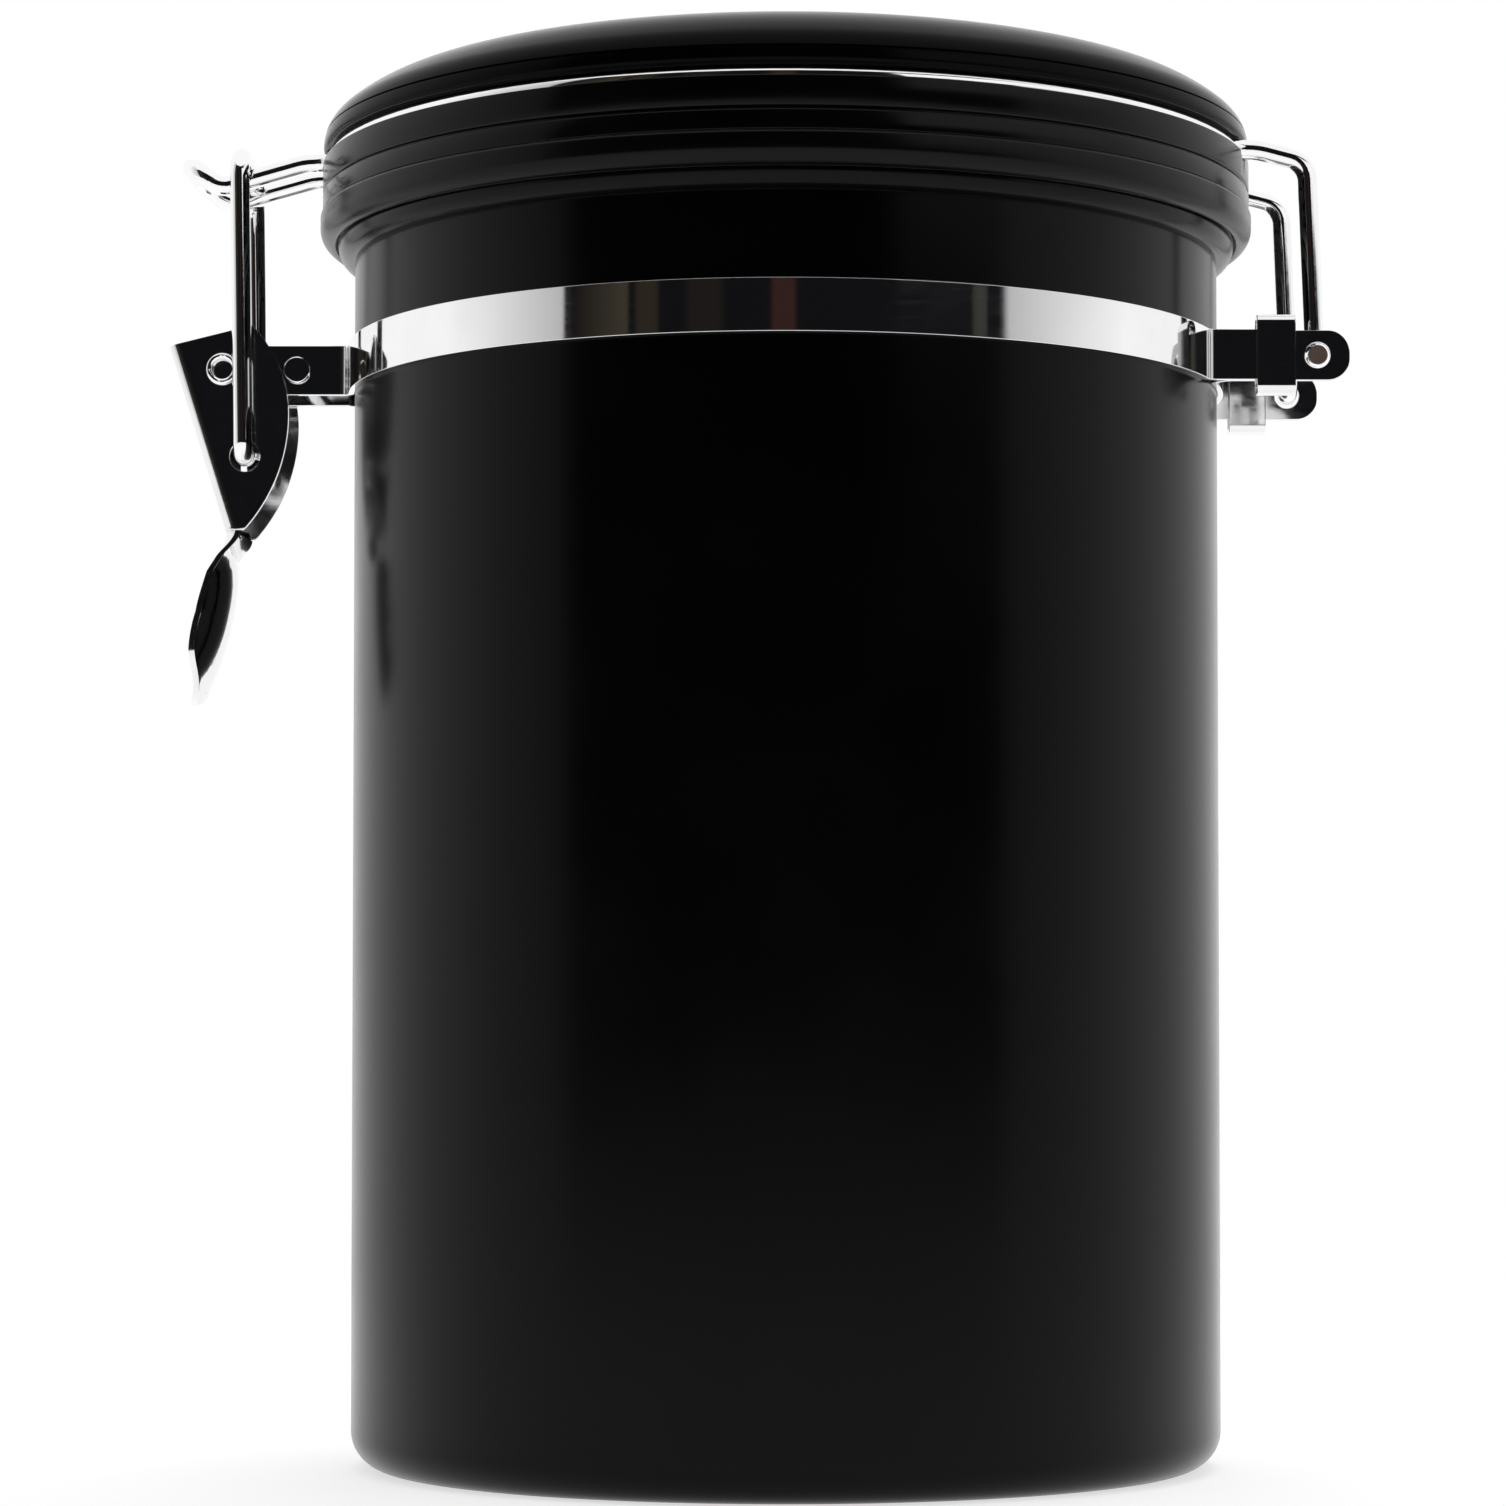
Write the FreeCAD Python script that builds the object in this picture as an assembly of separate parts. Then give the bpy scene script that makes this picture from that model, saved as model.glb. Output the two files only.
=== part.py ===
import FreeCAD, Part
import math
import os

# Food canister: a drawn steel can with a domed lid that a wire bail hinges and clamps.
# Millimetres, +Z up, origin at the middle of the base. The latch is at -X and the hinge at +X.

V = FreeCAD.Vector
UP = V(0, 0, 1)
ACROSS = V(0, 1, 0)

# Can
can_radius = 56.0
can_wall = 0.6
can_height = 159.6
base_round = 5.0
bead_radius = 2.2

# Strap round the can, in two halves
strap_drop = 18.2
strap_width = 6.4
strap_thick = 0.8
strap_fit = 0.05
strap_bend = 1.6

# Latch ears on the strap, and what goes through them
ear_gap = 9.2
ear_round = 3.2
pivot_reach = 16.75
rivet_reach = 7.2
rivet_shank = 1.1
rivet_shoulder = 1.6
rivet_head = 1.75
rivet_head_height = 0.6
rivet_head_edge = 0.25
pin_fit = 0.03
eyelet_radius = 1.65
eyelet_bore = 1.3
eyelet_flange = 2.1
eyelet_flange_height = 0.4
eyelet_depth = 1.6

# Hinge bracket and the sleeves that hold it to the strap ends
hinge_reach = 11.3
hinge_span = 34.4
bracket_thick = 0.8
bracket_width = 6.4
bracket_bend = 2.4
bracket_end = 4.1
bracket_corner = 2.8
hinge_hole = 1.6
sleeve_reach = 3.5
sleeve_length = 4.9
sleeve_thick = 0.7
sleeve_height = 10.2
sleeve_round = 1.2

# Wire of the lid and of the latch
wire_radius = 1.25
wire_bend = 3.0
foot_bend = 1.7
wire_fit = 0.12
notch_fit = 0.25
run_gap = 0.3

# Lid, from the seal up
seal_gap = 0.25
seal_thick = 1.65
seal_overhang = 4.5
seal_width = 8.0
seal_edge = 0.5
lip_drop = 2.1
lip_thick = 0.5
lip_round = 2.2
collar_overhang = 4.2
collar_height = 6.5
collar_groove_height = 2.7
collar_groove = 0.45
ledge_width = 4.5
ledge_thick = 1.1
upstand_thick = 2.0
upstand_rise = 1.55
pan_thick = 0.6
pan_fit = 0.3
pan_depth = 2.6
pan_round = 1.5
dome_inset = 0.1
dome_thick = 0.7
dome_edge = 0.6
shoulder_radius = 4.8
shoulder_turn = math.radians(50)
brow_radius = 18.0
crown_slope = math.radians(14)
hem_height = 2.0
hem_groove = 0.2
flange_width = 6.6

# Lid wire: ring in the collar, hinge legs at the back and a hook loop at the front
ring_inset = 1.8
ring_rise = 0.2
exit_run = 1.2
exit_bend = 9.0
leg_lean = 0.9
leg_drop = 1.7
hook_valley = 2.8
hook_drop = 3.2
hook_slope = math.radians(38)
hook_reach = 5.2
hook_bend = 3.0
hook_corner = 3.5
foot_proud = 0.4

# Latch lever, measured from its pivot: a pressed channel that ends in a dished thumb tab
lever_width = 13.2
lever_thick = 0.8
lever_bend = 1.5
lever_top_out = 6.95
lever_top_out_rise = 3.0
lever_top_in = 3.85
lever_top_in_rise = 5.7
lever_bulge = 8.55
lever_bulge_drop = 5.9
lever_neck_drop = 20.8
lever_neck_out = 0.35
lever_neck_depth = 2.5
wire_hole = 2.0
wire_hole_in = 2.95
wire_hole_drop = 11.3
tab_drop = 43.0
tab_half_width = 7.2
tab_dish = 3.0
tab_lean = 5.0
tab_overlap = 1.0
tab_ease = 0.3
tab_straight = 4.4
# Down the tab: share of its length, share of its lean
tab_stations = [(0.52, 0.78), (0.78, 0.96)]
tab_first_station = (0.28, 0.42)

# Latch wire
bar_in = 2.35
bar_gap = 0.5

# Places that several pieces share
strap_mid = can_height - strap_drop
strap_centre = can_radius + strap_fit + strap_thick / 2
ear_middle = ear_gap / 2 + strap_thick / 2
pivot_x = -(can_radius + pivot_reach)
rivet_x = -(can_radius + rivet_reach)
hinge_x = can_radius + hinge_reach
bracket_middle = hinge_span / 2 + bracket_thick / 2
strap_end_middle = bracket_middle + bracket_thick / 2 + strap_thick / 2
sleeve_in = hinge_span / 2 - sleeve_thick
seal_base = can_height + seal_gap
seal_top = seal_base + seal_thick
collar_radius = can_radius + collar_overhang
collar_top = seal_top + collar_height
ring_radius = collar_radius - ring_inset
ring_height = collar_top + ring_rise
channel_radius = wire_radius + wire_fit
dome_base = collar_top + upstand_rise
dome_radius = collar_radius - dome_inset
upstand_outer = ring_radius - channel_radius - wire_fit
upstand_inner = upstand_outer - upstand_thick
ledge_inner = upstand_inner - ledge_width
lever_half = lever_width / 2
latch_leg = lever_half + eyelet_flange_height + pin_fit + run_gap + wire_radius
hook_leg = latch_leg - 2 * wire_radius - run_gap
hinge_leg = sleeve_in - run_gap - wire_radius
hole_x = pivot_x + wire_hole_in
hole_z = strap_mid - wire_hole_drop
bar_x = pivot_x + bar_in


def line(start, end):
    return Part.LineSegment(start, end).toShape()


def arc(start, middle, end):
    return Part.Arc(start, middle, end).toShape()


def outline(start, steps):
    # Each step is the next point, or the middle and end of an arc.
    edges = []
    here = start
    for step in steps:
        edges.append(arc(here, *step) if isinstance(step, tuple) else line(here, step))
        here = step[-1] if isinstance(step, tuple) else step
    edges.append(line(here, start))
    return Part.Face(Part.Wire(edges))


def radial(radius, height):
    return V(radius, 0, height)


def on_arc(centre, radius, angle):
    return centre + V(radius * math.cos(angle), 0, radius * math.sin(angle))


def revolved(start, steps):
    return outline(start, steps).revolve(V(), UP, 360)


def cylinder_across(radius, x, height, half_length):
    return Part.makeCylinder(radius, 2 * half_length, V(x, -half_length, height), ACROSS)


def rounded_path(points, radii):
    # Straight runs through the points, with a tangent arc of its own radius at each corner.
    edges = []
    here = points[0]
    for before, corner, after, radius in zip(points, points[1:], points[2:], radii):
        back = (before - corner).normalize()
        ahead = (after - corner).normalize()
        half = back.getAngle(ahead) / 2
        into = corner + back * (radius / math.tan(half))
        out = corner + ahead * (radius / math.tan(half))
        middle = corner + (back + ahead).normalize() * (radius / math.sin(half) - radius)
        edges.append(line(here, into))
        edges.append(arc(into, middle, out))
        here = out
    edges.append(line(here, points[-1]))
    return edges


def wire_along(edges, radius):
    path = Part.Wire(edges)
    first = edges[0]
    along = first.tangentAt(first.FirstParameter)
    section = Part.Wire(Part.Circle(first.valueAt(first.FirstParameter), along, radius).toShape())
    solid = Part.Solid(path.makePipeShell([section], True, False))
    expected = math.pi * radius ** 2 * path.Length
    print("wire length", round(path.Length, 1), "volume ratio", round(solid.Volume / expected, 4))
    return solid


def turn_out(radius, offset, bend):
    # Centre of a bend that leaves a circle about the can's axis for a straight run at this offset.
    return math.sqrt((radius + bend) ** 2 - (offset + bend) ** 2)


def mirrored(shape):
    return shape.mirror(V(), ACROSS)


def make_can_body():
    bead_middle = can_height - bead_radius
    inner = can_radius - can_wall
    corner = radial(can_radius - base_round, base_round)
    turn = -math.pi / 4
    rim_turn = radial(can_radius, can_height - can_wall)
    return revolved(V(), [
        radial(can_radius - base_round, 0),
        (on_arc(corner, base_round, turn), radial(can_radius, base_round)),
        radial(can_radius, can_height - 2 * bead_radius),
        (radial(can_radius + bead_radius, bead_middle), radial(can_radius, can_height)),
        (on_arc(rim_turn, can_wall, 3 * math.pi / 4), radial(inner, can_height - can_wall)),
        radial(inner, base_round),
        (on_arc(corner, base_round - can_wall, turn), radial(can_radius - base_round, can_wall)),
        radial(0, can_wall),
    ])


def strap_side(shift):
    # One face of the near strap half, from the latch ear round the can to the hinge end.
    radius = strap_centre + shift
    bend = strap_bend - shift
    ear = ear_middle + shift
    end = strap_end_middle + shift
    latch_turn = turn_out(radius, ear, bend)
    hinge_turn = turn_out(radius, end, bend)
    latch_centre = V(-latch_turn, -ear - bend, 0)
    hinge_centre = V(hinge_turn, -end - bend, 0)
    leave = latch_centre * (radius / (radius + bend))
    meet = hinge_centre * (radius / (radius + bend))
    latch_ease = latch_centre + ((leave - latch_centre).normalize() + ACROSS).normalize() * bend
    hinge_ease = hinge_centre + ((meet - hinge_centre).normalize() + ACROSS).normalize() * bend
    return [
        line(V(pivot_x, -ear, 0), V(-latch_turn, -ear, 0)),
        arc(V(-latch_turn, -ear, 0), latch_ease, leave),
        arc(leave, V(0, -radius, 0), meet),
        arc(meet, hinge_ease, V(hinge_turn, -end, 0)),
        line(V(hinge_turn, -end, 0), V(can_radius + sleeve_reach + sleeve_length, -end, 0)),
    ]


def make_strap_near():
    outer = strap_side(strap_thick / 2)
    inner = strap_side(-strap_thick / 2)
    ends = []
    for end in (0, -1):
        ends.append(line(outer[end].Vertexes[end].Point, inner[end].Vertexes[end].Point))
    face = Part.Face(Part.Wire(Part.__sortEdges__(outer + inner + ends)))
    band = face.extrude(UP * strap_width)
    band.translate(UP * (strap_mid - strap_width / 2))
    face_out = ear_middle + strap_thick / 2
    tip = Part.makeCylinder(ear_round, strap_thick, V(pivot_x, -face_out, strap_mid), ACROSS)
    pivot_hole = cylinder_across(eyelet_radius + pin_fit, pivot_x, strap_mid, face_out + run_gap)
    rivet_hole = cylinder_across(rivet_shank + pin_fit, rivet_x, strap_mid, face_out + run_gap)
    return band.fuse(tip).removeSplitter().cut(pivot_hole).cut(rivet_hole)


def make_strap_rivet():
    inside = ear_gap / 2 - pin_fit
    outside = ear_middle + strap_thick / 2 + pin_fit
    top = outside + rivet_head_height
    rim = radial(rivet_head - rivet_head_edge, top - rivet_head_edge)
    half = revolved(V(), [
        radial(rivet_shoulder, 0),
        radial(rivet_shoulder, inside),
        radial(rivet_shank, inside),
        radial(rivet_shank, outside),
        radial(rivet_head, outside),
        radial(rivet_head, rim.z),
        (on_arc(rim, rivet_head_edge, math.pi / 4), radial(rim.x, top)),
        radial(0, top),
    ])
    both = half.fuse(half.mirror(V(), UP)).removeSplitter()
    both.rotate(V(), V(1, 0, 0), 90)
    both.translate(V(rivet_x, 0, strap_mid))
    return both


def make_pivot_eyelet():
    under = lever_half + pin_fit
    top = under + eyelet_flange_height
    edge = eyelet_flange - eyelet_flange_height
    rolled = radial(edge, under)
    half = revolved(V(), [
        radial(eyelet_radius, 0),
        radial(eyelet_radius, under),
        radial(eyelet_flange, under),
        (on_arc(rolled, eyelet_flange_height, math.pi / 4), radial(edge, top)),
        radial(eyelet_bore, top - eyelet_flange_height / 2),
        radial(eyelet_bore, top - eyelet_depth),
        radial(0, top - eyelet_depth),
    ])
    both = half.fuse(half.mirror(V(), UP)).removeSplitter()
    both.rotate(V(), V(1, 0, 0), 90)
    both.translate(V(pivot_x, 0, strap_mid))
    return both


def bracket_side(shift):
    # One face of the bracket, from the near leg's end to the middle of its web.
    radius = strap_centre + shift
    bend = bracket_bend - shift
    leg = bracket_middle - shift
    depth = leg - bend
    turn = math.sqrt((radius + bend) ** 2 - depth ** 2)
    centre = V(turn, -depth, 0)
    leave = centre * (radius / (radius + bend))
    ease = centre + ((leave - centre).normalize() - ACROSS).normalize() * bend
    return [
        line(V(hinge_x, -leg, 0), V(turn, -leg, 0)),
        arc(V(turn, -leg, 0), ease, leave),
    ]


def bracket_tip(y):
    half = bracket_width / 2
    end = hinge_x + bracket_end
    low = V(end - bracket_corner, y, strap_mid - half + bracket_corner)
    high = V(end - bracket_corner, y, strap_mid + half - bracket_corner)
    return outline(V(hinge_x, y, strap_mid - half), [
        V(low.x, y, strap_mid - half),
        (on_arc(low, bracket_corner, -math.pi / 4), V(end, y, low.z)),
        V(end, y, high.z),
        (on_arc(high, bracket_corner, math.pi / 4), V(high.x, y, strap_mid + half)),
        V(hinge_x, y, strap_mid + half),
    ]).extrude(ACROSS * bracket_thick)


def make_hinge_bracket():
    faces = []
    for shift in (bracket_thick / 2, -bracket_thick / 2):
        near = bracket_side(shift)
        far = [mirrored(edge) for edge in near]
        radius = strap_centre + shift
        web = arc(near[1].Vertexes[1].Point, V(radius, 0, 0), far[1].Vertexes[1].Point)
        faces += near + far + [web]
    in_leg = bracket_middle - bracket_thick / 2
    out_leg = bracket_middle + bracket_thick / 2
    ends = [line(V(hinge_x, side * in_leg, 0), V(hinge_x, side * out_leg, 0)) for side in (-1, 1)]
    plate = Part.Face(Part.Wire(Part.__sortEdges__(faces + ends))).extrude(UP * bracket_width)
    plate.translate(UP * (strap_mid - bracket_width / 2))
    hole = cylinder_across(hinge_hole, hinge_x, strap_mid, out_leg + run_gap)
    for start in (-out_leg, in_leg):
        plate = plate.fuse(bracket_tip(start))
    return plate.removeSplitter().cut(hole)


def rounded_block(x, length, low, high, height, corner):
    block = Part.makeBox(length, high - low, height, V(x, low, strap_mid - height / 2))
    along = [edge for edge in block.Edges if abs(edge.tangentAt(edge.FirstParameter).x) > 0.9]
    return block.makeFillet(corner, along)


def make_hinge_sleeve_near():
    x = can_radius + sleeve_reach
    low = -(strap_end_middle + strap_thick / 2)
    high = -hinge_span / 2
    under = low - sleeve_thick
    over = high + sleeve_thick
    outside = rounded_block(x, sleeve_length, under, over, sleeve_height, sleeve_round)
    height = sleeve_height - 2 * sleeve_thick
    corner = sleeve_round - sleeve_thick
    inside = rounded_block(x - run_gap, sleeve_length + 2 * run_gap, low, high, height, corner)
    return outside.cut(inside)


def make_seal_gasket():
    inner = can_radius + bead_radius + run_gap
    outer = can_radius + seal_overhang
    lip_base = can_height - lip_drop
    turn = math.acos((inner + lip_thick + lip_round - outer) / lip_round)
    heart = radial(outer - lip_round, lip_base + lip_round * math.sin(turn))
    return revolved(radial(outer - seal_width, seal_base), [
        radial(inner, seal_base),
        radial(inner, lip_base),
        radial(inner + lip_thick, lip_base),
        (on_arc(heart, lip_round, -turn / 2), radial(outer, heart.z)),
        radial(outer, seal_top - seal_edge),
        (on_arc(radial(outer - seal_edge, seal_top - seal_edge), seal_edge, math.pi / 4),
         radial(outer - seal_edge, seal_top)),
        radial(outer - seal_width, seal_top),
    ])


def lid_wire_exit(offset, sign):
    # The wire leaves the ring on a bend and runs straight out past the collar.
    turn = turn_out(ring_radius, offset, wire_bend)
    centre = V(sign * turn, -(offset + wire_bend), ring_height)
    meet = V(centre.x, centre.y, 0) * (ring_radius / (ring_radius + wire_bend)) + UP * ring_height
    ease = centre + ((meet - centre).normalize() + ACROSS).normalize() * wire_bend
    out = V(sign * turn, -offset, ring_height)
    return meet, arc(meet, ease, out), out


def lid_wire_near():
    hinge_meet, hinge_bend, hinge_out = lid_wire_exit(hinge_leg, 1)
    hook_meet, hook_turn, hook_out = lid_wire_exit(hook_leg, -1)
    foot_end = bracket_middle + bracket_thick / 2 + foot_proud
    top = V(hinge_x - leg_lean, -hinge_leg, ring_height - leg_drop)
    back = rounded_path(
        [V(hinge_x, -foot_end, strap_mid), V(hinge_x, -hinge_leg, strap_mid), top,
         hinge_out + V(exit_run, 0, 0), hinge_out],
        [foot_bend, wire_bend, exit_bend])
    ring = arc(hinge_meet, V(0, -ring_radius, ring_height), hook_meet)
    valley = V(bar_x - hook_valley, -hook_leg, ring_height - hook_drop)
    corner = valley + V(-math.cos(hook_slope), 0, math.sin(hook_slope)) * hook_reach
    front = rounded_path(
        [hook_out, hook_out - V(exit_run, 0, 0), valley, corner, V(corner.x, 0, corner.z)],
        [exit_bend, hook_bend, hook_corner])
    return back, [hinge_bend, ring, hook_turn], front


def make_lid_wire():
    back, middle, front = lid_wire_near()
    near = back + middle + front
    far = [mirrored(edge) for edge in reversed(near)]
    return wire_along(near + far, wire_radius)


def make_lid_collar():
    groove_at = seal_top + collar_groove_height
    channel = radial(ring_radius, ring_height)
    reach = math.sqrt(channel_radius ** 2 - ring_rise ** 2)
    ring = revolved(radial(ledge_inner, seal_top), [
        radial(collar_radius, seal_top),
        radial(collar_radius, groove_at - collar_groove),
        radial(collar_radius - collar_groove, groove_at),
        radial(collar_radius, groove_at + collar_groove),
        radial(collar_radius, collar_top),
        radial(ring_radius + reach, collar_top),
        (on_arc(channel, channel_radius, -math.pi / 2), radial(ring_radius - reach, collar_top)),
        radial(upstand_outer, collar_top),
        radial(upstand_outer, dome_base),
        radial(upstand_inner, dome_base),
        radial(upstand_inner, seal_top + ledge_thick),
        radial(ledge_inner, seal_top + ledge_thick),
    ])
    back, middle, front = lid_wire_near()
    hinge_bend, hook_turn = middle[0], middle[-1]
    for exit_path in (back[-3:] + [hinge_bend], front[2::-1] + [hook_turn]):
        notch = wire_along(exit_path, wire_radius + notch_fit)
        ring = ring.cut(notch).cut(mirrored(notch))
    return ring


def make_lid_pan():
    shelf = seal_top + ledge_thick
    floor = shelf - pan_depth
    wall = ledge_inner - pan_fit
    corner = radial(wall - pan_round, floor + pan_round)
    turn = -math.pi / 4
    return revolved(radial(0, floor), [
        radial(wall - pan_round, floor),
        (on_arc(corner, pan_round, turn), radial(wall, floor + pan_round)),
        radial(wall, shelf),
        radial(upstand_inner - pan_fit, shelf),
        radial(upstand_inner - pan_fit, shelf + pan_thick),
        radial(wall - pan_thick, shelf + pan_thick),
        radial(wall - pan_thick, floor + pan_round),
        (on_arc(corner, pan_round - pan_thick, turn), radial(wall - pan_round, floor + pan_thick)),
        radial(0, floor + pan_thick),
    ])


def make_lid_dome():
    # A tight shoulder above the edge, a wider brow over it, and a shallow crown.
    shoulder = radial(dome_radius - shoulder_radius, dome_base + dome_edge)
    brow = on_arc(shoulder, shoulder_radius - brow_radius, shoulder_turn)
    leave = math.pi / 2 - crown_slope
    crown_radius = on_arc(brow, brow_radius, leave).x / math.sin(crown_slope)
    crown = on_arc(brow, brow_radius - crown_radius, leave)

    def skin(inset):
        edge = on_arc(shoulder, shoulder_radius - inset, 0)
        shoulder_middle = on_arc(shoulder, shoulder_radius - inset, shoulder_turn / 2)
        shoulder_end = on_arc(shoulder, shoulder_radius - inset, shoulder_turn)
        brow_middle = on_arc(brow, brow_radius - inset, (shoulder_turn + leave) / 2)
        brow_end = on_arc(brow, brow_radius - inset, leave)
        crown_middle = on_arc(crown, crown_radius - inset, math.pi / 2 - crown_slope / 2)
        apex = radial(0, crown.z + crown_radius - inset)
        return edge, shoulder_middle, shoulder_end, brow_middle, brow_end, crown_middle, apex

    edge, shoulder_middle, shoulder_end, brow_middle, brow_end, crown_middle, apex = skin(0)
    in_edge, in_shoulder, in_shoulder_end, in_brow, in_brow_end, in_crown, in_apex = skin(dome_thick)
    hem = radial(dome_radius - dome_edge, dome_base + dome_edge)
    flange = dome_radius - flange_width
    crease = on_arc(shoulder, shoulder_radius, math.asin((hem_height - dome_edge) / shoulder_radius))
    groove = Part.makeTorus(crease.x, hem_groove, UP * crease.z)
    shell = revolved(radial(flange, dome_base), [
        radial(dome_radius - dome_edge, dome_base),
        (on_arc(hem, dome_edge, -math.pi / 4), edge),
        (shoulder_middle, shoulder_end),
        (brow_middle, brow_end),
        (crown_middle, apex),
        in_apex,
        (in_crown, in_brow_end),
        (in_brow, in_shoulder_end),
        (in_shoulder, in_edge),
        radial(in_edge.x, dome_base + dome_thick),
        radial(flange, dome_base + dome_thick),
    ])
    return shell.cut(groove)


def at_lever(x, rise, y=0):
    return V(pivot_x + x, y, strap_mid + rise)


def bulge_arc(x, rise):
    # Arc that is upright at the lever's widest point and ends at the given point.
    wide = lever_bulge - x
    tall = rise + lever_bulge_drop
    radius = (wide ** 2 + tall ** 2) / (2 * wide)
    half = math.asin(tall / radius) / 2
    out = lever_bulge - radius + radius * math.cos(half)
    return at_lever(out, radius * math.sin(half) - lever_bulge_drop)


def make_lever_channel():
    corner_out = at_lever(-lever_top_out, lever_top_out_rise)
    corner_in = at_lever(lever_top_in, lever_top_in_rise)
    widest = at_lever(lever_bulge, -lever_bulge_drop)
    neck_in = at_lever(lever_neck_out + lever_neck_depth, -lever_neck_drop)
    neck_out = at_lever(lever_neck_out, -lever_neck_drop)
    plate = outline(corner_out, [
        corner_in,
        (bulge_arc(lever_top_in, lever_top_in_rise), widest),
        (bulge_arc(lever_neck_out + lever_neck_depth, -lever_neck_drop), neck_in),
        neck_out,
    ])
    block = plate.extrude(ACROSS * lever_width)
    block.translate(ACROSS * -lever_half)
    down = (neck_out - corner_out).normalize()
    folds = []
    for edge in block.Edges:
        middle = (edge.Vertexes[0].Point + edge.Vertexes[-1].Point) * 0.5
        on_web = abs((middle - corner_out).cross(down).y) < run_gap
        if on_web and abs(edge.tangentAt(edge.FirstParameter).dot(down)) > 0.99:
            folds.append(edge)
    block = block.makeFillet(lever_bend, folds)
    inward = V(-down.z, 0, down.x)
    start = corner_out + inward * lever_thick - down * lever_width
    end = neck_out + inward * lever_thick + down * lever_width
    far = inward * (lever_bulge + lever_top_out) * 2
    hollow = outline(start, [start + far, end + far, end])
    room = hollow.extrude(ACROSS * (lever_width - 2 * lever_thick))
    room.translate(ACROSS * (lever_thick - lever_half))
    return block.cut(room)


def tab_section(rise, back, half, dish):
    # A crescent across the tab, open towards the can.
    def across(x, y):
        return at_lever(x, rise, y)

    inner = back + lever_thick
    edges = [
        arc(across(back + dish, -half), across(back, 0), across(back + dish, half)),
        line(across(back + dish, half), across(inner + dish, half)),
        arc(across(inner + dish, half), across(inner, 0), across(inner + dish, -half)),
        line(across(inner + dish, -half), across(back + dish, -half)),
    ]
    return Part.Wire(edges)


def make_thumb_tab():
    length = tab_drop - lever_neck_drop
    spread = tab_half_width + run_gap
    start = tab_overlap - lever_neck_drop
    down, lean = tab_first_station
    back = lever_neck_out - lean * tab_lean
    sections = [
        tab_section(start, lever_neck_out - tab_ease, lever_half, lever_neck_depth - lever_thick),
        tab_section(start - down * length, back, lever_half + tab_ease, tab_dish),
    ]
    for down, lean in tab_stations:
        back = lever_neck_out - lean * tab_lean
        sections.append(tab_section(start - down * length, back, spread, tab_dish))
    sections.append(tab_section(-tab_drop - tab_overlap, lever_neck_out - tab_lean, spread, tab_dish))
    trough = Part.makeLoft(sections, True, False)
    side = lever_bulge + lever_top_out

    def edge_point(y, rise):
        return at_lever(-side, rise, y)

    waist = lever_half - lever_thick / 2
    widest = tab_half_width - tab_drop
    shape = outline(edge_point(-waist, start), [
        edge_point(-waist, -lever_neck_drop),
        edge_point(-tab_half_width, widest + tab_straight),
        edge_point(-tab_half_width, widest),
        (edge_point(0, -tab_drop), edge_point(tab_half_width, widest)),
        edge_point(tab_half_width, widest + tab_straight),
        edge_point(waist, -lever_neck_drop),
        edge_point(waist, start),
    ])
    return trough.common(shape.extrude(V(2 * side, 0, 0)))


def make_latch_lever():
    lever = make_lever_channel().fuse(make_thumb_tab()).removeSplitter()
    pivot_hole = cylinder_across(eyelet_radius + pin_fit, pivot_x, strap_mid, lever_width)
    hole = cylinder_across(wire_hole, hole_x, hole_z, lever_width)
    return lever.cut(pivot_hole).cut(hole)


def make_latch_wire():
    seat = lid_wire_near()[2][2]
    high, low = seat.Vertexes[0].Point, seat.Vertexes[1].Point
    slope = (high.z - low.z) / (high.x - low.x)
    seat_z = low.z + slope * (bar_x - low.x)
    bar_z = seat_z + (2 * wire_radius + bar_gap) * math.sqrt(1 + slope ** 2)
    foot = lever_half - lever_thick - run_gap
    points = []
    for side in (-1, 1):
        run = [
            V(hole_x, side * foot, hole_z),
            V(hole_x, side * latch_leg, hole_z),
            V(bar_x, side * latch_leg, bar_z),
        ]
        points += run if side < 0 else run[::-1]
    return wire_along(rounded_path(points, [foot_bend, wire_bend, wire_bend, foot_bend]), wire_radius)


def main():
    strap_near = make_strap_near()
    sleeve_near = make_hinge_sleeve_near()
    pieces = {
        "can_body": make_can_body(),
        "strap_near": strap_near,
        "strap_far": mirrored(strap_near),
        "strap_rivet": make_strap_rivet(),
        "pivot_eyelet": make_pivot_eyelet(),
        "hinge_bracket": make_hinge_bracket(),
        "hinge_sleeve_near": sleeve_near,
        "hinge_sleeve_far": mirrored(sleeve_near),
        "seal_gasket": make_seal_gasket(),
        "lid_collar": make_lid_collar(),
        "lid_pan": make_lid_pan(),
        "lid_dome": make_lid_dome(),
        "lid_wire": make_lid_wire(),
        "latch_lever": make_latch_lever(),
        "latch_wire": make_latch_wire(),
    }
    os.makedirs("parts", exist_ok=True)
    for name, shape in pieces.items():
        shape.exportStep("parts/" + name + ".step")
        box = shape.BoundBox
        print(name, shape.isValid(), len(shape.Solids), round(shape.Volume, 1),
              [round(v, 2) for v in (box.XMin, box.YMin, box.ZMin, box.XMax, box.YMax, box.ZMax)])


main()
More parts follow.
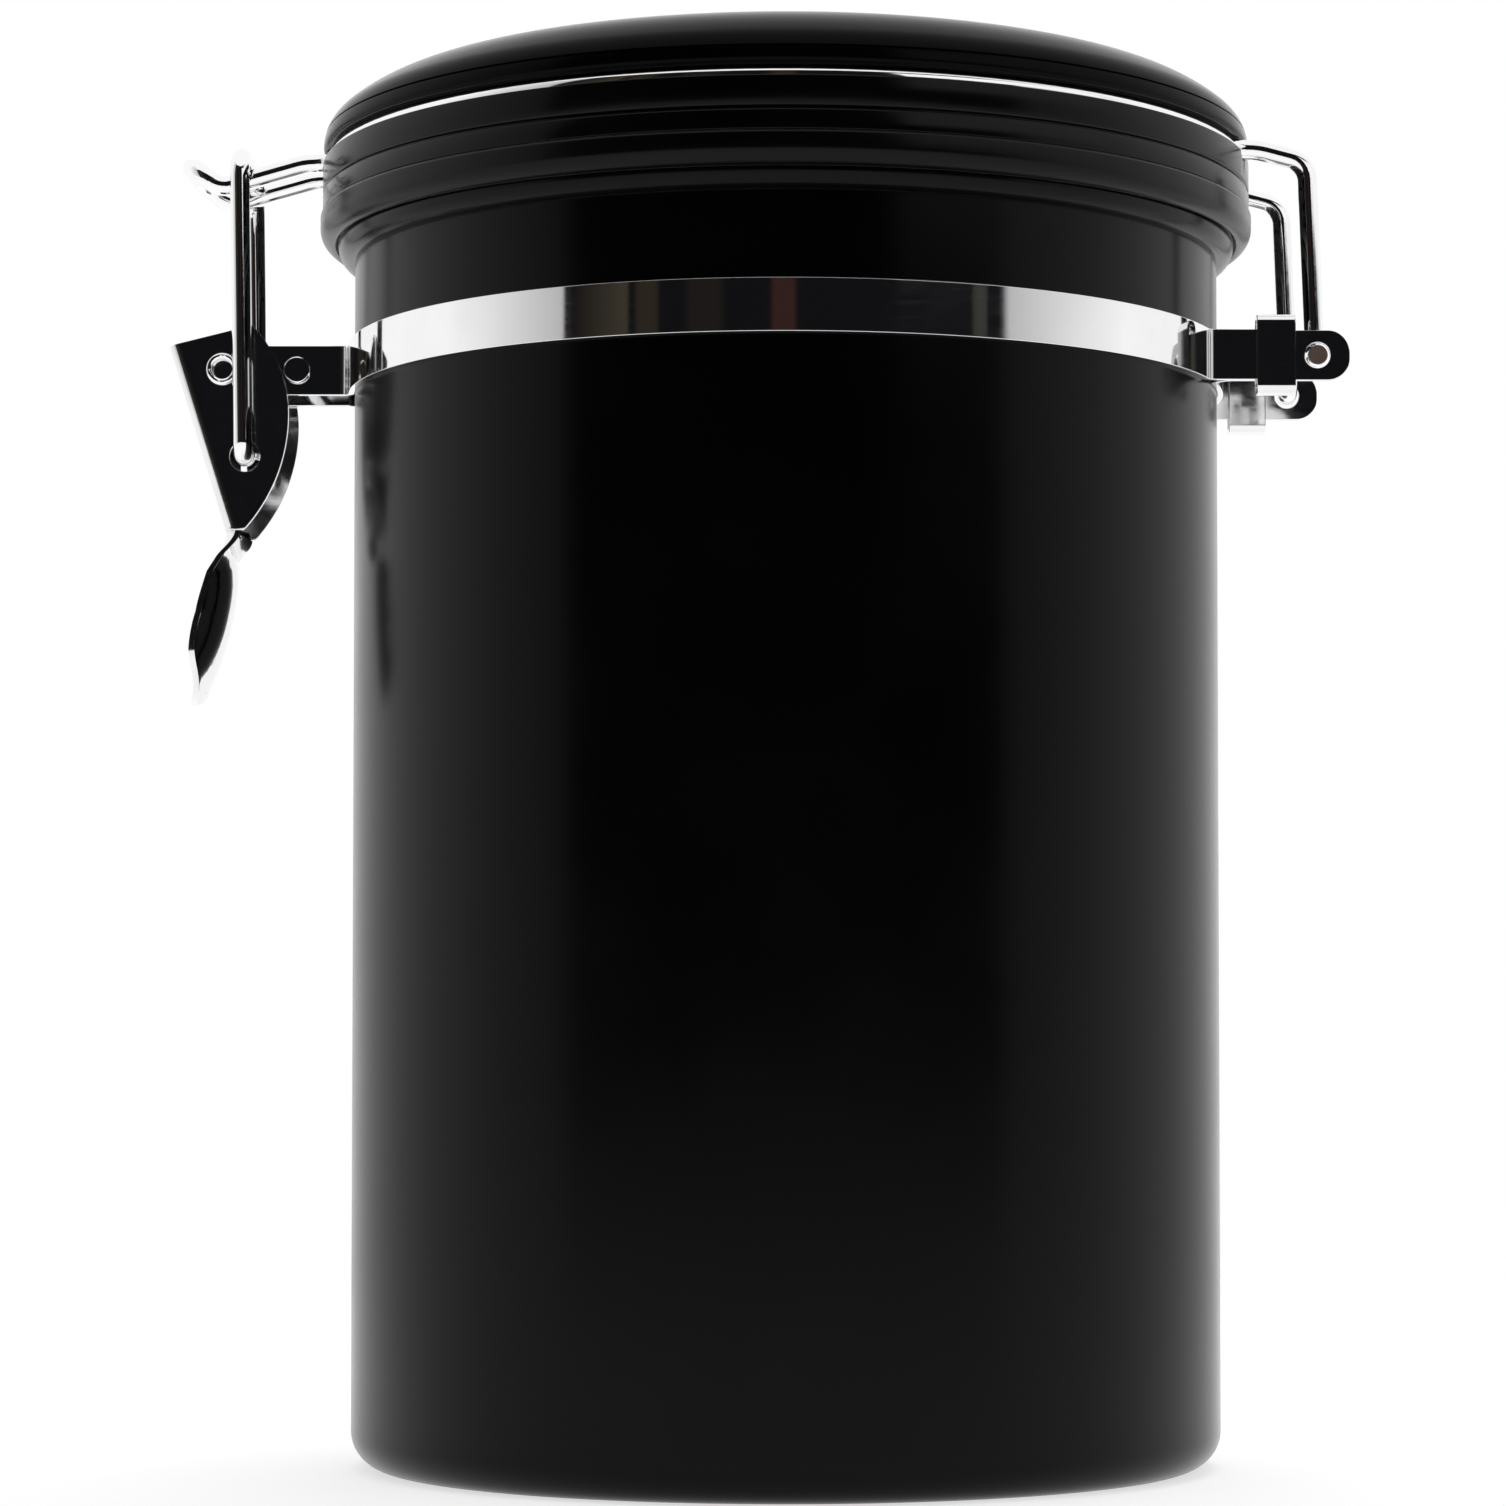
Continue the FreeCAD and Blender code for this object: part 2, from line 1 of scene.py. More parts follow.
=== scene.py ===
import bpy
import math
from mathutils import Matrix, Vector


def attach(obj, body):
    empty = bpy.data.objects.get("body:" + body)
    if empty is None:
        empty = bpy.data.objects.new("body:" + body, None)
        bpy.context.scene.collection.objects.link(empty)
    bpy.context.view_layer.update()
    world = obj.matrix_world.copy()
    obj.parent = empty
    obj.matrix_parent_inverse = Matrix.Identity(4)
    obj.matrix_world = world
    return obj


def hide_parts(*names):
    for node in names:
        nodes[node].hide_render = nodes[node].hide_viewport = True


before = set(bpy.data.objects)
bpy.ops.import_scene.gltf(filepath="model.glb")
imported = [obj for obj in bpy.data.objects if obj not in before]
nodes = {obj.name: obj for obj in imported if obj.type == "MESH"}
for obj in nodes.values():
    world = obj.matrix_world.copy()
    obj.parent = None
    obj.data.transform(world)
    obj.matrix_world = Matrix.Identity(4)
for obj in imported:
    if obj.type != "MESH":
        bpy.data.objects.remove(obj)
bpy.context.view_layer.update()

mm = 0.001
print("frame loaded:", len(nodes), "nodes")


# small helpers

def deselectAll():
    if bpy.context.object and bpy.context.object.mode != "OBJECT":
        bpy.ops.object.mode_set(mode="OBJECT")
    bpy.ops.object.select_all(action="DESELECT")


def pick(obj):
    deselectAll()
    obj.hide_viewport = False
    obj.select_set(True)
    bpy.context.view_layer.objects.active = obj


def applyAll(obj):
    pick(obj)
    for mod in list(obj.modifiers):
        bpy.ops.object.modifier_apply(modifier=mod.name)


def applyPlace(obj):
    pick(obj)
    bpy.ops.object.transform_apply(location=True, rotation=True, scale=True)


def smoothByAngle(obj, degrees):
    pick(obj)
    bpy.ops.object.shade_smooth_by_angle(angle=math.radians(degrees))


def dress(obj, material):
    obj.data.materials.clear()
    obj.data.materials.append(material)


# points on an arc of the profile, from one angle to another, in degrees
def bendRings(centreR, centreZ, radius, fromDeg, toDeg, steps):
    rings = []
    for i in range(steps + 1):
        a = math.radians(fromDeg + (toDeg - fromDeg) * i / steps)
        rings.append((centreR + radius * math.cos(a), centreZ + radius * math.sin(a)))
    return rings


# a lathe turned by hand: one circle, then extrude, lift and scale for each ring of the profile
turning = dict(merge=1e-6)


def turnProfile(name, rings, segments, closed):
    deselectAll()
    r0, z0 = rings[0]
    bpy.ops.mesh.primitive_circle_add(vertices=segments, radius=r0 * mm, location=(0, 0, z0 * mm),
                                      fill_type="NOTHING" if closed else "NGON")
    obj = bpy.context.object
    obj.name = name
    obj.data.name = name
    applyPlace(obj)
    bpy.ops.object.mode_set(mode="EDIT")
    bpy.ops.mesh.select_mode(type="EDGE")
    bpy.ops.mesh.select_all(action="SELECT")
    loop = rings + rings[:1] if closed else rings
    for (ra, za), (rb, zb) in zip(loop, loop[1:]):
        bpy.ops.mesh.extrude_edges_move(TRANSFORM_OT_translate={"value": (0, 0, (zb - za) * mm)})
        f = rb / ra
        bpy.ops.transform.resize(value=(f, f, 1), center_override=(0, 0, 0))
    if not closed:
        bpy.ops.mesh.edge_face_add()
    bpy.ops.mesh.select_all(action="SELECT")
    bpy.ops.mesh.remove_doubles(threshold=turning["merge"])
    bpy.ops.mesh.normals_make_consistent(inside=False)
    bpy.ops.object.mode_set(mode="OBJECT")
    return obj


def turnedPiece(name, rings, segments, closed, node, body, sharp=30):
    obj = turnProfile(name, rings, segments, closed)
    smoothByAngle(obj, sharp)
    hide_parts(node)
    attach(obj, body)
    return obj


# a machined copy of a CAD node: merged, edges eased, shaded by angle
copying = dict(merge=2e-6, flatAngle=0.4, faceWeight=80)


def easedCopy(nodeName, pieceName, body, edge, segments=2, sharp=32, shaping=None):
    deselectAll()
    source = nodes[nodeName]
    obj = bpy.data.objects.new(pieceName, source.data.copy())
    obj.data.name = pieceName
    bpy.context.scene.collection.objects.link(obj)
    pick(obj)
    bpy.ops.object.mode_set(mode="EDIT")
    bpy.ops.mesh.select_all(action="SELECT")
    bpy.ops.mesh.remove_doubles(threshold=copying["merge"])
    bpy.ops.mesh.dissolve_limited(angle_limit=math.radians(copying["flatAngle"]))
    bpy.ops.object.mode_set(mode="OBJECT")
    if shaping:
        shaping(obj)
    if edge:
        bev = obj.modifiers.new("easedEdges", "BEVEL")
        bev.width = edge * mm
        bev.segments = segments
        bev.limit_method = "ANGLE"
        bev.angle_limit = math.radians(sharp)
        bev.use_clamp_overlap = True
    applyAll(obj)
    smoothByAngle(obj, sharp)
    flat = obj.modifiers.new("flatFaces", "WEIGHTED_NORMAL")
    flat.mode = "FACE_AREA"
    flat.weight = copying["faceWeight"]
    flat.keep_sharp = True
    applyAll(obj)
    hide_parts(nodeName)
    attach(obj, body)
    return obj


# material helpers

def newMaterial(name):
    mat = bpy.data.materials.new(name)
    mat.use_nodes = True
    tree = mat.node_tree
    tree.nodes.clear()
    out = tree.nodes.new("ShaderNodeOutputMaterial")
    shader = tree.nodes.new("ShaderNodeBsdfPrincipled")
    tree.links.new(shader.outputs["BSDF"], out.inputs["Surface"])
    coord = tree.nodes.new("ShaderNodeTexCoord")
    return mat, tree, shader, coord


def noiseField(tree, coord, scale, stretch=(1, 1, 1), detail=3.0, rough=0.55):
    place = tree.nodes.new("ShaderNodeMapping")
    place.inputs["Scale"].default_value = stretch
    tree.links.new(coord.outputs["Object"], place.inputs["Vector"])
    noise = tree.nodes.new("ShaderNodeTexNoise")
    noise.inputs["Scale"].default_value = scale
    noise.inputs["Detail"].default_value = detail
    noise.inputs["Roughness"].default_value = rough
    tree.links.new(place.outputs["Vector"], noise.inputs["Vector"])
    return noise


def rangeOf(tree, source, low, high, fromLow=0.3, fromHigh=0.7):
    span = tree.nodes.new("ShaderNodeMapRange")
    span.inputs["From Min"].default_value = fromLow
    span.inputs["From Max"].default_value = fromHigh
    span.inputs["To Min"].default_value = low
    span.inputs["To Max"].default_value = high
    tree.links.new(source, span.inputs["Value"])
    return span.outputs["Result"]


def tintOf(tree, source, dark, light, low=0.3, high=0.7):
    ramp = tree.nodes.new("ShaderNodeValToRGB")
    ramp.color_ramp.elements[0].position = low
    ramp.color_ramp.elements[0].color = (*dark, 1)
    ramp.color_ramp.elements[1].position = high
    ramp.color_ramp.elements[1].color = (*light, 1)
    tree.links.new(source, ramp.inputs["Fac"])
    return ramp.outputs["Color"]


def bumpOf(tree, shader, source, strength, distance):
    bump = tree.nodes.new("ShaderNodeBump")
    bump.inputs["Strength"].default_value = strength
    bump.inputs["Distance"].default_value = distance
    tree.links.new(source, bump.inputs["Height"])
    tree.links.new(bump.outputs["Normal"], shader.inputs["Normal"])
    return bump


coat = dict(dark=(0.0006, 0.0006, 0.0007), light=(0.0012, 0.0012, 0.0014), grain=2600, stretch=(1, 1, 1),
            cloud=38, roughLow=0.17, roughHigh=0.23, sheen=0.6, sheenRough=0.2, bump=0.06, depth=0.00003)
plastic = dict(dark=(0.0008, 0.0008, 0.001), light=(0.0015, 0.0015, 0.0018), grain=1500,
               stretch=(0.06, 0.06, 1), cloud=60, roughLow=0.16, roughHigh=0.22, sheen=0.5, sheenRough=0.2,
               bump=0.08, depth=0.00003)


# a black coat or plastic: fine grain as bump, a slow cloud in its tint and gloss
def makeBlack(name, look, specular, rougher=0.0):
    mat, tree, shader, coord = newMaterial(name)
    grain = noiseField(tree, coord, look["grain"], stretch=look["stretch"], detail=2)
    cloud = noiseField(tree, coord, look["cloud"], detail=4)
    tint = tintOf(tree, cloud.outputs["Fac"], look["dark"], look["light"])
    rough = rangeOf(tree, cloud.outputs["Fac"], look["roughLow"] + rougher, look["roughHigh"] + rougher)
    tree.links.new(tint, shader.inputs["Base Color"])
    tree.links.new(rough, shader.inputs["Roughness"])
    shader.inputs["Specular IOR Level"].default_value = specular
    shader.inputs["Sheen Weight"].default_value = look["sheen"]
    shader.inputs["Sheen Roughness"].default_value = look["sheenRough"]
    bumpOf(tree, shader, grain.outputs["Fac"], look["bump"], look["depth"])
    return mat


# bright metal: smears in its tint, drawn lines in its gloss and bump
plating = dict(smear=70, depth=0.00002)


def makePlate(name, dark, light, rough, stretch, grain, bump, metal=1.0):
    mat, tree, shader, coord = newMaterial(name)
    smear = noiseField(tree, coord, plating["smear"], detail=5)
    drawn = noiseField(tree, coord, grain, stretch=stretch, detail=3)
    tree.links.new(tintOf(tree, smear.outputs["Fac"], dark, light), shader.inputs["Base Color"])
    tree.links.new(rangeOf(tree, drawn.outputs["Fac"], *rough), shader.inputs["Roughness"])
    shader.inputs["Metallic"].default_value = metal
    bumpOf(tree, shader, drawn.outputs["Fac"], bump, plating["depth"])
    return mat


canCoat = makeBlack("matteBlackCanCoat", coat, specular=0.12)
lidCoat = makeBlack("matteBlackLidCoat", coat, specular=0.05)
collarPlastic = makeBlack("satinBlackCollar", plastic, specular=0.15)
sealRubber = makeBlack("satinBlackSeal", plastic, specular=0.15, rougher=0.06)
strapPlate = makePlate("brightStrapPlate", (0.86, 0.86, 0.865), (0.93, 0.93, 0.935),
                       rough=(0.035, 0.075), stretch=(1, 1, 8), grain=260, bump=0.02)
wirePlate = makePlate("brightWirePlate", (0.9, 0.9, 0.905), (0.96, 0.96, 0.965),
                      rough=(0.05, 0.1), stretch=(1, 1, 1), grain=700, bump=0.03)
hardwarePlate = makePlate("pressedHardwarePlate", (0.82, 0.82, 0.825), (0.91, 0.91, 0.915),
                          rough=(0.06, 0.12), stretch=(1, 1, 4), grain=420, bump=0.04)
bareCut = makePlate("bareWireCut", (0.1, 0.066, 0.05), (0.19, 0.135, 0.105),
                    rough=(0.4, 0.6), stretch=(1, 1, 1), grain=2400, bump=0.2, metal=0.15)
panSteel = makePlate("brushedPanSteel", (0.5, 0.5, 0.51), (0.6, 0.6, 0.61),
                     rough=(0.25, 0.4), stretch=(20, 1, 1), grain=60, bump=0.05)
print("materials made")


# the thumb tab as pressed: below the neck its hollow turns outwards, and it closes like a spoon at the tip
tabForm = dict(neck=121.0, turned=117.0, tip=98.4, depth=3.0, neckDepth=1.7, neckTop=121.6, neckEnd=115.4,
               wideFrom=110.0, neckHalf=6.75, wideHalf=7.5, bowlDepth=3.6, bowlMiddle=109.0, bowlReach=10.6,
               cuts=20, step=0.8)


def sharedOut(value, start, end):
    return min(1.0, max(0.0, (value - start) / (end - start)))


def turnHollow(obj):
    t = tabForm
    levels = [t["neck"] + (t["turned"] - t["neck"]) * i / t["cuts"] for i in range(t["cuts"] + 1)]
    levels += [t["tip"] + t["step"] * i for i in range(1, int((t["turned"] - t["tip"]) / t["step"]))]
    pick(obj)
    bpy.ops.object.mode_set(mode="EDIT")
    for z in levels:
        bpy.ops.mesh.select_all(action="SELECT")
        bpy.ops.mesh.bisect(plane_co=(0, 0, z * mm), plane_no=(0, 0, 1))
    bpy.ops.object.mode_set(mode="OBJECT")
    for point in obj.data.vertices:
        y, z = abs(point.co.y) / mm, point.co.z / mm
        turned = sharedOut(z, t["neck"], t["turned"])
        turned = turned * turned * (3 - 2 * turned)
        hollow = t["neckDepth"] + (t["depth"] - t["neckDepth"]) * sharedOut(z, t["neckTop"], t["neckEnd"])
        half = t["neckHalf"] + (t["wideHalf"] - t["neckHalf"]) * sharedOut(z, t["neckEnd"], t["wideFrom"])
        bend = (half * half + hollow * hollow) / (2 * hollow)
        rise = (bend - math.sqrt(bend * bend - min(y, half) ** 2)) / hollow
        bowl = t["bowlDepth"] * max(0.0, 1 - ((z - t["bowlMiddle"]) / t["bowlReach"]) ** 2)
        point.co.x += turned * (bowl * (1 - rise) - hollow * rise) * mm


# pieces copied from the CAD, with eased edges
strapNear = easedCopy("strap_near", "strapNear", "canister", edge=0.26, segments=3)
strapFar = easedCopy("strap_far", "strapFar", "canister", edge=0.26, segments=3)
bracket = easedCopy("hinge_bracket", "hingeBracket", "canister", edge=0.14)
sleeveNear = easedCopy("hinge_sleeve_near", "hingeSleeveNear", "canister", edge=0.14)
sleeveFar = easedCopy("hinge_sleeve_far", "hingeSleeveFar", "canister", edge=0.14)
rivet = easedCopy("strap_rivet", "strapRivet", "canister", edge=0.08)
eyelet = easedCopy("pivot_eyelet", "pivotEyelet", "canister", edge=0.06)
lever = easedCopy("latch_lever", "latchLever", "lever", edge=0.2, segments=3, shaping=turnHollow)
latchWire = easedCopy("latch_wire", "latchWire", "latch_wire", edge=0.2)
lidWire = easedCopy("lid_wire", "lidWire", "lid", edge=0.2)
pan = easedCopy("lid_pan", "lidPan", "lid", edge=0.05)

# round pieces, turned on the can's axis
canForm = dict(radius=56.0, wall=0.6, height=159.6, foot=5.0, bead=2.2, hub=0.5, baseRing=20, footLead=0.5,
               outside=(6, 30, 60, 90, 120, 150), inside=(158, 150, 100, 50, 6), segments=288)
c = canForm
inner = c["radius"] - c["wall"]
footR = c["radius"] - c["foot"]
rings = [(c["hub"], 0.0), (c["baseRing"], 0.0), (footR - c["footLead"], 0.0)]
rings += bendRings(footR, c["foot"], c["foot"], -90, 0, 16)
rings += [(c["radius"], z) for z in c["outside"]]
rings += bendRings(c["radius"], c["height"] - c["bead"], c["bead"], -90, 90, 24)
rings += bendRings(c["radius"], c["height"] - c["wall"], c["wall"], 90, 180, 6)[1:]
rings += [(inner, z) for z in (*c["inside"], c["foot"])]
rings += bendRings(footR, c["foot"], c["foot"] - c["wall"], 0, -90, 12)[1:]
rings += [(c["baseRing"], c["wall"]), (c["hub"], c["wall"])]
can = turnedPiece("canBody", rings, c["segments"], False, "can_body", "canister", sharp=40)

domeForm = dict(radius=60.1, base=169.55, thick=0.7, edge=0.6, shoulder=4.8, turn=50, brow=18.0, crown=14,
                top=89.85, flange=6.6, hemTurn=4, crease=16.96, creaseHalf=1.8, creaseFloor=0.5,
                creaseDepth=0.22, segments=288)
d = domeForm
shoulderR, shoulderZ = d["radius"] - d["shoulder"], d["base"] + d["edge"]
turn, leave = d["turn"], 90 - d["crown"]
browR = shoulderR + (d["shoulder"] - d["brow"]) * math.cos(math.radians(turn))
browZ = shoulderZ + (d["shoulder"] - d["brow"]) * math.sin(math.radians(turn))
crownR = (browR + d["brow"] * math.cos(math.radians(leave))) / math.sin(math.radians(d["crown"]))
crownZ = browZ + (d["brow"] - crownR) * math.sin(math.radians(leave))
rings = bendRings(0, crownZ, crownR, d["top"], leave, 24)
rings += bendRings(browR, browZ, d["brow"], leave, turn, 14)[1:]
rings += bendRings(shoulderR, shoulderZ, d["shoulder"], turn, d["crease"] + d["creaseHalf"], 12)[1:]
rings += bendRings(shoulderR, shoulderZ, d["shoulder"] - d["creaseDepth"],
                   d["crease"] + d["creaseFloor"], d["crease"] - d["creaseFloor"], 1)
rings += bendRings(shoulderR, shoulderZ, d["shoulder"], d["crease"] - d["creaseHalf"], 0, 6)
rings += bendRings(d["radius"] - d["edge"], d["base"] + d["edge"], d["edge"], 0, -90, 6)[1:]
rings += [(d["radius"] - d["flange"], d["base"]), (d["radius"] - d["flange"], d["base"] + d["thick"])]
rings += [(shoulderR + d["shoulder"] - d["thick"], d["base"] + d["thick"])]
rings += bendRings(shoulderR, shoulderZ, d["shoulder"] - d["thick"], d["hemTurn"], turn, 10)
rings += bendRings(browR, browZ, d["brow"] - d["thick"], turn, leave, 8)[1:]
rings += bendRings(0, crownZ, crownR - d["thick"], leave, d["top"], 16)[1:]
dome = turnedPiece("lidDome", rings, d["segments"], False, "lid_dome", "lid", sharp=34)

sealForm = dict(outer=60.5, inner=58.5, base=159.85, top=161.5, lip=157.5, lipEdge=0.2, lipWidth=0.5,
                lipRound=2.2, width=8.0, edge=0.5, segments=288)
g = sealForm
lipBase = g["lip"] + g["lipEdge"]
rings = [(g["outer"] - g["width"], g["base"]), (g["inner"], g["base"]), (g["inner"], lipBase)]
rings += bendRings(g["inner"] + g["lipEdge"], lipBase, g["lipEdge"], 180, 270, 4)[1:]
lipTurn = math.degrees(math.acos((g["inner"] + g["lipWidth"] + g["lipRound"] - g["outer"]) / g["lipRound"]))
lipZ = g["lip"] + g["lipRound"] * math.sin(math.radians(lipTurn))
rings += bendRings(g["outer"] - g["lipRound"], lipZ, g["lipRound"], -lipTurn, 0, 10)
rings += bendRings(g["outer"] - g["edge"], g["top"] - g["edge"], g["edge"], 0, 90, 6)
rings += [(g["outer"] - g["width"], g["top"])]
seal = turnedPiece("sealGasket", rings, g["segments"], True, "seal_gasket", "lid", sharp=34)

collarForm = dict(outer=60.2, base=161.5, top=168.0, groove=2.7, grooveDepth=0.45, grooveLip=0.42,
                  grooveFlank=0.24, grooveEase=0.08, grooveFloor=0.05, edge=0.18, channelR=58.4,
                  channelZ=168.2, channel=1.37, upstandOuter=56.91, upstandInner=54.91, upstandTop=169.55,
                  ledgeInner=50.41, ledge=1.1, wireRoom=0.2, sharp=34, segments=288)
k = collarForm
grooveZ = k["base"] + k["groove"]
down = math.degrees(math.asin((k["top"] - k["channelZ"]) / k["channel"]))
rings = [(k["ledgeInner"], k["base"])]
rings += bendRings(k["outer"] - k["edge"], k["base"] + k["edge"], k["edge"], -90, 0, 4)
groove = [(0, k["grooveLip"]), (k["grooveEase"], k["grooveFlank"]), (k["grooveDepth"], k["grooveFloor"])]
rings += [(k["outer"] - depth, grooveZ - half) for depth, half in groove]
rings += [(k["outer"] - depth, grooveZ + half) for depth, half in reversed(groove)]
rings += bendRings(k["outer"] - k["edge"], k["top"] - k["edge"], k["edge"], 0, 90, 4)
rings += bendRings(k["channelR"], k["channelZ"], k["channel"], down, -180 - down, 18)
ledgeTop = k["base"] + k["ledge"]
rings += [(k["upstandOuter"], k["top"]), (k["upstandOuter"], k["upstandTop"])]
rings += [(k["upstandInner"], k["upstandTop"]), (k["upstandInner"], ledgeTop), (k["ledgeInner"], ledgeTop)]
collar = turnProfile("lidCollar", rings, k["segments"], True)

# the wire's own way out through the collar, cut with a swollen copy of it
deselectAll()
cutter = bpy.data.objects.new("wireWay", lidWire.data.copy())
bpy.context.scene.collection.objects.link(cutter)
swell = cutter.modifiers.new("swell", "DISPLACE")
swell.strength = k["wireRoom"] * mm
swell.mid_level = 0.0
applyAll(cutter)
cut = collar.modifiers.new("wireNotches", "BOOLEAN")
cut.operation = "DIFFERENCE"
cut.solver = "EXACT"
cut.object = cutter
applyAll(collar)
bpy.data.objects.remove(cutter)
smoothByAngle(collar, k["sharp"])
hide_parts("lid_collar")
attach(collar, "lid")

# the wire's two cut ends, seen through the bracket's ears: bare metal with a broken edge
wireEnd = dict(x=67.3, z=141.4, y=18.39, radius=1.2, height=0.1, edge=0.06, burr=0.3, hub=0.2, hollow=0.5,
               sunk=(0.02, 0.035, 0.04), sharp=40, segments=48)
e = wireEnd


def makeWireEnd(name, side):
    rings = [(e["hub"], 0.0), (e["radius"], 0.0)]
    rings += bendRings(e["radius"] - e["edge"], e["height"] - e["edge"], e["edge"], 0, 90, 3)
    face = (e["radius"] - e["burr"], e["hollow"], e["hub"])
    rings += [(radius, e["height"] - sunk) for radius, sunk in zip(face, e["sunk"])]
    obj = turnProfile(name, rings, e["segments"], False)
    obj.rotation_euler = (math.radians(-90 * side), 0, 0)
    obj.location = (e["x"] * mm, side * e["y"] * mm, e["z"] * mm)
    applyPlace(obj)
    smoothByAngle(obj, e["sharp"])
    dress(obj, bareCut)
    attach(obj, "lid")


makeWireEnd("wireEndNear", -1)
makeWireEnd("wireEndFar", 1)

for piece in (strapNear, strapFar):
    dress(piece, strapPlate)
for piece in (bracket, sleeveNear, sleeveFar, rivet, eyelet, lever):
    dress(piece, hardwarePlate)
for piece in (latchWire, lidWire):
    dress(piece, wirePlate)
dress(collar, collarPlastic)
dress(seal, sealRubber)
dress(dome, lidCoat)
dress(can, canCoat)
dress(pan, panSteel)
print("pieces dressed")


# floor, dark room in front of the object, pale card, world, lamps and camera

def litPath(tree):
    path = tree.nodes.new("ShaderNodeLightPath")
    one = tree.nodes.new("ShaderNodeMath")
    one.operation = "MAXIMUM"
    tree.links.new(path.outputs["Is Camera Ray"], one.inputs[0])
    tree.links.new(path.outputs["Is Glossy Ray"], one.inputs[1])
    two = tree.nodes.new("ShaderNodeMath")
    two.operation = "MAXIMUM"
    tree.links.new(one.outputs[0], two.inputs[0])
    tree.links.new(path.outputs["Is Transmission Ray"], two.inputs[1])
    return two.outputs[0]


studio = dict(floorSize=8.0, floorSides=96, floorPlain=0.8, floorDiffuse=0.45, floorGlow=0.66,
              fadeFrom=0.16, fadeTo=0.5, roomRadius=1.3, roomHeight=1.5, cardSides=180, darkReach=55.5,
              wingReach=125, wingTones=((2, 0.5), (18, 0.72), (40, 1.0)))


def grey(tone):
    return (tone, tone, tone, 1)


def makeFloor():
    deselectAll()
    bpy.ops.mesh.primitive_circle_add(vertices=studio["floorSides"], radius=studio["floorSize"],
                                      fill_type="NGON", location=(0, 0, 0))
    floor = bpy.context.object
    floor.name = "floor"
    mat = bpy.data.materials.new("paleFloor")
    mat.use_nodes = True
    tree = mat.node_tree
    tree.nodes.clear()
    out = tree.nodes.new("ShaderNodeOutputMaterial")
    plain = tree.nodes.new("ShaderNodeBsdfDiffuse")
    plain.inputs["Color"].default_value = grey(studio["floorPlain"])
    seen = tree.nodes.new("ShaderNodeBsdfDiffuse")
    seen.inputs["Color"].default_value = grey(studio["floorDiffuse"])
    glow = tree.nodes.new("ShaderNodeEmission")
    glow.inputs["Strength"].default_value = studio["floorGlow"]
    both = tree.nodes.new("ShaderNodeAddShader")
    mix = tree.nodes.new("ShaderNodeMixShader")
    tree.links.new(seen.outputs[0], both.inputs[0])
    tree.links.new(glow.outputs[0], both.inputs[1])
    white = tree.nodes.new("ShaderNodeEmission")
    coord = tree.nodes.new("ShaderNodeTexCoord")
    far = tree.nodes.new("ShaderNodeVectorMath")
    far.operation = "LENGTH"
    tree.links.new(coord.outputs["Object"], far.inputs[0])
    fade = tree.nodes.new("ShaderNodeMixShader")
    fading = rangeOf(tree, far.outputs["Value"], 0, 1, studio["fadeFrom"], studio["fadeTo"])
    tree.links.new(fading, fade.inputs["Fac"])
    tree.links.new(both.outputs[0], fade.inputs[1])
    tree.links.new(white.outputs[0], fade.inputs[2])
    tree.links.new(litPath(tree), mix.inputs["Fac"])
    tree.links.new(plain.outputs[0], mix.inputs[1])
    tree.links.new(fade.outputs[0], mix.inputs[2])
    tree.links.new(mix.outputs[0], out.inputs["Surface"])
    dress(floor, mat)
    return floor


# the unlit end of the studio: a curved wall behind the camera, dark in the middle and paler at its wings
room = dict(base=(0.006, 0.006, 0.007), blur=0.7, uprights=[
    (-56, -40, (0.045, 0.037, 0.026)), (-37, -32, (0.025, 0.02, 0.014)), (-24, -16, (0.014, 0.011, 0.01)),
    (-3, 2, (0.034, 0.016, 0.014)), (48, 51, (0.04, 0.04, 0.035)),
])


def stageMaterial(name):
    mat = bpy.data.materials.new(name)
    mat.use_nodes = True
    tree = mat.node_tree
    tree.nodes.clear()
    out = tree.nodes.new("ShaderNodeOutputMaterial")
    glow = tree.nodes.new("ShaderNodeEmission")
    tree.links.new(glow.outputs[0], out.inputs["Surface"])
    return mat, tree, glow


# part of a cylinder round the object, kept between two angles from the camera's side
def curvedCard(name, radius, low, high, fromDeg, toDeg):
    deselectAll()
    bpy.ops.mesh.primitive_cylinder_add(vertices=studio["cardSides"], radius=radius, depth=high - low,
                                        end_fill_type="NOTHING", location=(0, 0, (low + high) / 2))
    card = bpy.context.object
    card.name = name
    applyPlace(card)
    bpy.ops.object.mode_set(mode="EDIT")
    bpy.ops.mesh.select_mode(type="FACE")
    bpy.ops.mesh.select_all(action="DESELECT")
    bpy.ops.object.mode_set(mode="OBJECT")
    for face in card.data.polygons:
        angle = math.degrees(math.atan2(face.center.x, -face.center.y))
        face.select = angle < fromDeg or angle > toDeg
    bpy.ops.object.mode_set(mode="EDIT")
    bpy.ops.mesh.delete(type="FACE")
    bpy.ops.object.mode_set(mode="OBJECT")
    card.visible_camera = False
    return card


